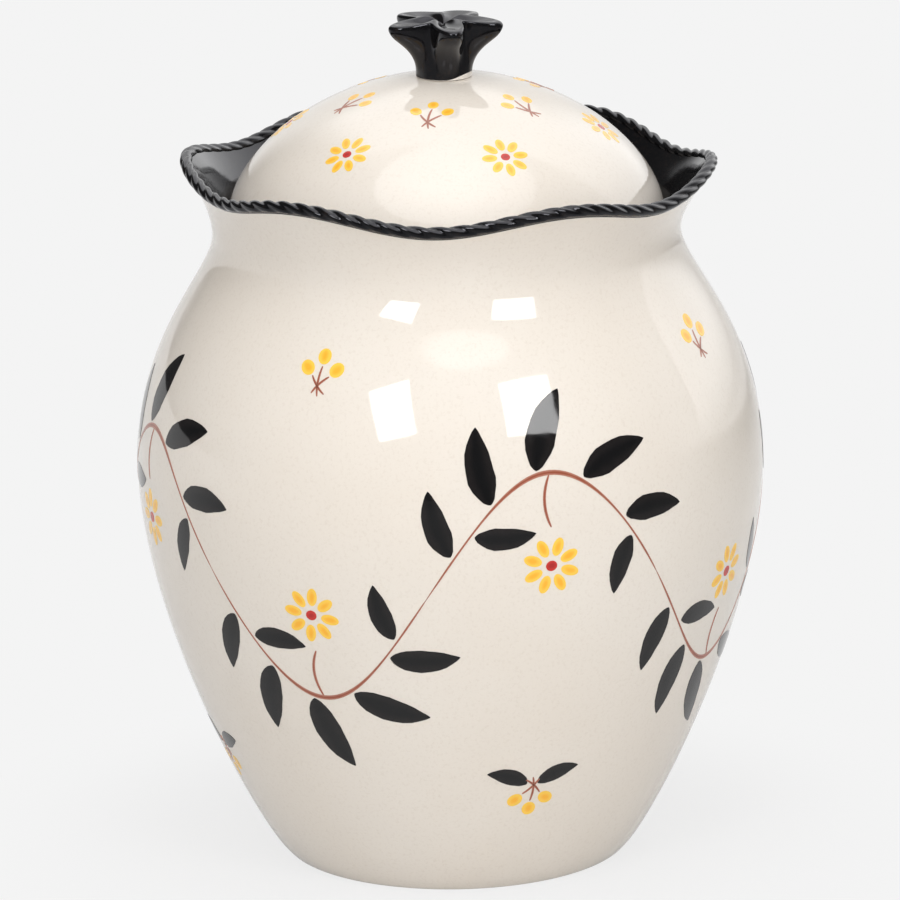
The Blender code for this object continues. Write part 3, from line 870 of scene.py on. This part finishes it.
def makeFloor():
    # A pale floor. In the camera's view it turns into plain white with the distance from the
    # jar, but for a share of the shadow. Glossy rays see it in a brightness of its own.
    half = studio["floorSize"]
    mesh = bpy.data.meshes.new("floor")
    corners = [(-half, -half, 0), (half, -half, 0), (half, half, 0), (-half, half, 0)]
    mesh.from_pydata(corners, [], [(0, 1, 2, 3)])
    piece = bpy.data.objects.new("floor", mesh)
    bpy.context.collection.objects.link(piece)
    material = bpy.data.materials.new("paleFloor")
    material.use_nodes = True
    tree = material.node_tree
    tree.nodes.clear()
    out = tree.nodes.new("ShaderNodeOutputMaterial")
    diffuse = addNode(tree, "ShaderNodeBsdfDiffuse", Color=(*[studio["floorColour"]] * 3, 1))
    glow = addNode(tree, "ShaderNodeEmission", Color=(*[studio["white"]] * 3, 1), Strength=1.0)
    mirrored = addNode(tree, "ShaderNodeEmission", Strength=1.0)
    place = tree.nodes.new("ShaderNodeTexCoord")
    split = tree.nodes.new("ShaderNodeSeparateXYZ")
    length = tree.nodes.new("ShaderNodeVectorMath")
    length.operation = "LENGTH"
    link(tree, place.outputs["Object"], length.inputs[0])
    link(tree, place.outputs["Object"], split.inputs[0])
    fade = smoothNode(tree, length.outputs["Value"], *studio["fade"], 1 - studio["shadowShare"])
    bounced = smoothNode(tree, split.outputs["Y"], *studio["frontEnd"], studio["front"],
                         studio["white"], "LINEAR")
    aside = smoothNode(tree, split.outputs["X"], *studio["rightSide"], 1.0, studio["right"])
    aside = mathNode(tree, "MAXIMUM", aside, smoothNode(tree, split.outputs["Y"], *studio["farBack"]))
    link(tree, mathNode(tree, "MULTIPLY", bounced, aside), mirrored.inputs["Color"])
    path = tree.nodes.new("ShaderNodeLightPath")
    shown = tree.nodes.new("ShaderNodeMixShader")
    link(tree, mathNode(tree, "MULTIPLY", fade, path.outputs["Is Camera Ray"]), shown.inputs[0])
    link(tree, diffuse.outputs[0], shown.inputs[1])
    link(tree, glow.outputs[0], shown.inputs[2])
    mix = tree.nodes.new("ShaderNodeMixShader")
    link(tree, mathNode(tree, "MULTIPLY", path.outputs["Is Glossy Ray"], studio["gloss"]), mix.inputs[0])
    link(tree, shown.outputs[0], mix.inputs[1])
    link(tree, mirrored.outputs[0], mix.inputs[2])
    link(tree, mix.outputs[0], out.inputs[0])
    mesh.materials.append(material)


def makeRoom(tree, x, y, z):
    # What glossy surfaces see in the direction x, y, z: a white backdrop behind, brighter where
    # it sweeps up at the right and high up, and ending on the left; a round soft light overhead,
    # where x and y over z lie within its reach, with a hot middle; and a dim room elsewhere.
    behind = smoothNode(tree, y, *studio["sweepEdge"])
    right = smoothNode(tree, x, *studio["sweepRight"])
    raised = mathNode(tree, "MULTIPLY", right, smoothNode(tree, z, *studio["sweepRise"]))
    raised = mathNode(tree, "MAXIMUM", raised, smoothNode(tree, z, *studio["sweepHigh"]))
    sweep = mathNode(tree, "MULTIPLY", behind, mathNode(tree, "MULTIPLY", raised, studio["sweep"]))
    lit = smoothNode(tree, x, *studio["leftEnd"])
    above = mathNode(tree, "MAXIMUM", z, 0.05)
    sides = [mathNode(tree, "SUBTRACT", mathNode(tree, "DIVIDE", value, above), place)
             for value, place in zip((x, y), studio["discPlace"])]
    squares = [mathNode(tree, "MULTIPLY", side, side) for side in sides]
    far = mathNode(tree, "SQRT", mathNode(tree, "ADD", *squares))
    reach = studio["discReach"]
    disc = smoothNode(tree, far, reach * 0.95, reach, studio["disc"], 0.0)
    core = smoothNode(tree, far, reach * 0.05, reach * 0.85, studio["discCore"], 0.0)
    backdrop = smoothNode(tree, y, *studio["backdrop"], 0.0, studio["white"])
    backdrop = mathNode(tree, "MULTIPLY", mathNode(tree, "ADD", backdrop, sweep), lit)
    backdrop = mathNode(tree, "ADD", backdrop, studio["dark"])
    return mathNode(tree, "ADD", mathNode(tree, "MAXIMUM", disc, backdrop), core)


def makeWorld():
    # White where the camera looks, the bright room for glossy rays, and for every other ray an
    # even soft light.
    world = bpy.data.worlds.new("studioWorld")
    bpy.context.scene.world = world
    world.use_nodes = True
    tree = world.node_tree
    tree.nodes.clear()
    out = tree.nodes.new("ShaderNodeOutputWorld")
    back = tree.nodes.new("ShaderNodeBackground")
    place = tree.nodes.new("ShaderNodeTexCoord")
    split = tree.nodes.new("ShaderNodeSeparateXYZ")
    link(tree, place.outputs["Generated"], split.inputs[0])
    room = makeRoom(tree, *split.outputs)
    path = tree.nodes.new("ShaderNodeLightPath")
    mirrored = mathNode(tree, "MAXIMUM", path.outputs["Is Glossy Ray"],
                        path.outputs["Is Transmission Ray"])
    colour = mixColours(tree, mirrored, (studio["ambient"],) * 3, room)
    colour = mixColours(tree, path.outputs["Is Camera Ray"], colour, (studio["white"],) * 3)
    link(tree, colour, back.inputs[0])
    link(tree, back.outputs[0], out.inputs[0])


def addLamp(name, place, aim, size, radiance, roll=0.0, glossy=True):
    # A soft box. Its power is its radiance times its area times pi.
    lamp = bpy.data.lights.new(name, "AREA")
    lamp.shape = "RECTANGLE"
    lamp.size, lamp.size_y = size
    lamp.energy = radiance * math.pi * size[0] * size[1]
    lampObject = bpy.data.objects.new(name, lamp)
    bpy.context.collection.objects.link(lampObject)
    turned = (Vector(aim) - Vector(place)).to_track_quat("-Z", "Y").to_matrix().to_4x4()
    lampObject.matrix_world = Matrix.Translation(place) @ turned @ Matrix.Rotation(roll, 4, "Z")
    lampObject.visible_camera, lampObject.visible_glossy = False, glossy


def makeLamps():
    # Each key box lies keyDistance away along its azimuth and elevation, with a side of twice
    # that distance times the tangent of half its angle.
    aim = np.array(studio["keyAim"])
    for name, (azimuth, elevation, wide, tall, roll, radiance) in studio["keys"].items():
        az, el = math.radians(azimuth), math.radians(elevation)
        way = np.array([math.sin(az) * math.cos(el), -math.cos(az) * math.cos(el), math.sin(el)])
        far = studio["keyDistance"]
        size = [2 * far * math.tan(math.radians(value) / 2) for value in (wide, tall)]
        addLamp(name, tuple(aim + way * far), tuple(aim), size, radiance, math.radians(roll))
    # the round light overhead, one behind and one in front, all for diffuse light only
    high, reach = studio["topHeight"], studio["discReach"] * studio["topHeight"]
    place = tuple(high * share for share in studio["topPlace"]) + (0.25 + high,)
    addLamp("topSoft", place, (0, 0, 0.25), [1.77 * reach] * 2, studio["topRadiance"], glossy=False)
    for name, lamp in studio["softs"].items():
        addLamp(name, lamp["place"], lamp["aim"], [lamp["size"]] * 2, lamp["radiance"], glossy=False)


def makeCamera():
    # In front of the jar and above it, aimed at its middle and rolled a little.
    data = bpy.data.cameras.new("camera")
    data.sensor_width = 36
    data.lens = camera["lens"]
    view = bpy.data.objects.new("camera", data)
    bpy.context.collection.objects.link(view)
    place = Vector((0, -camera["distance"], camera["height"]))
    turned = (Vector(camera["aim"]) - place).to_track_quat("-Z", "Y").to_matrix().to_4x4()
    view.matrix_world = Matrix.Translation(place) @ turned @ Matrix.Rotation(camera["roll"], 4, "Z")
    bpy.context.scene.camera = view


makeFloor()
makeWorld()
makeLamps()
makeCamera()
bpy.context.scene.view_settings.view_transform = "Standard"
print("studio ready")
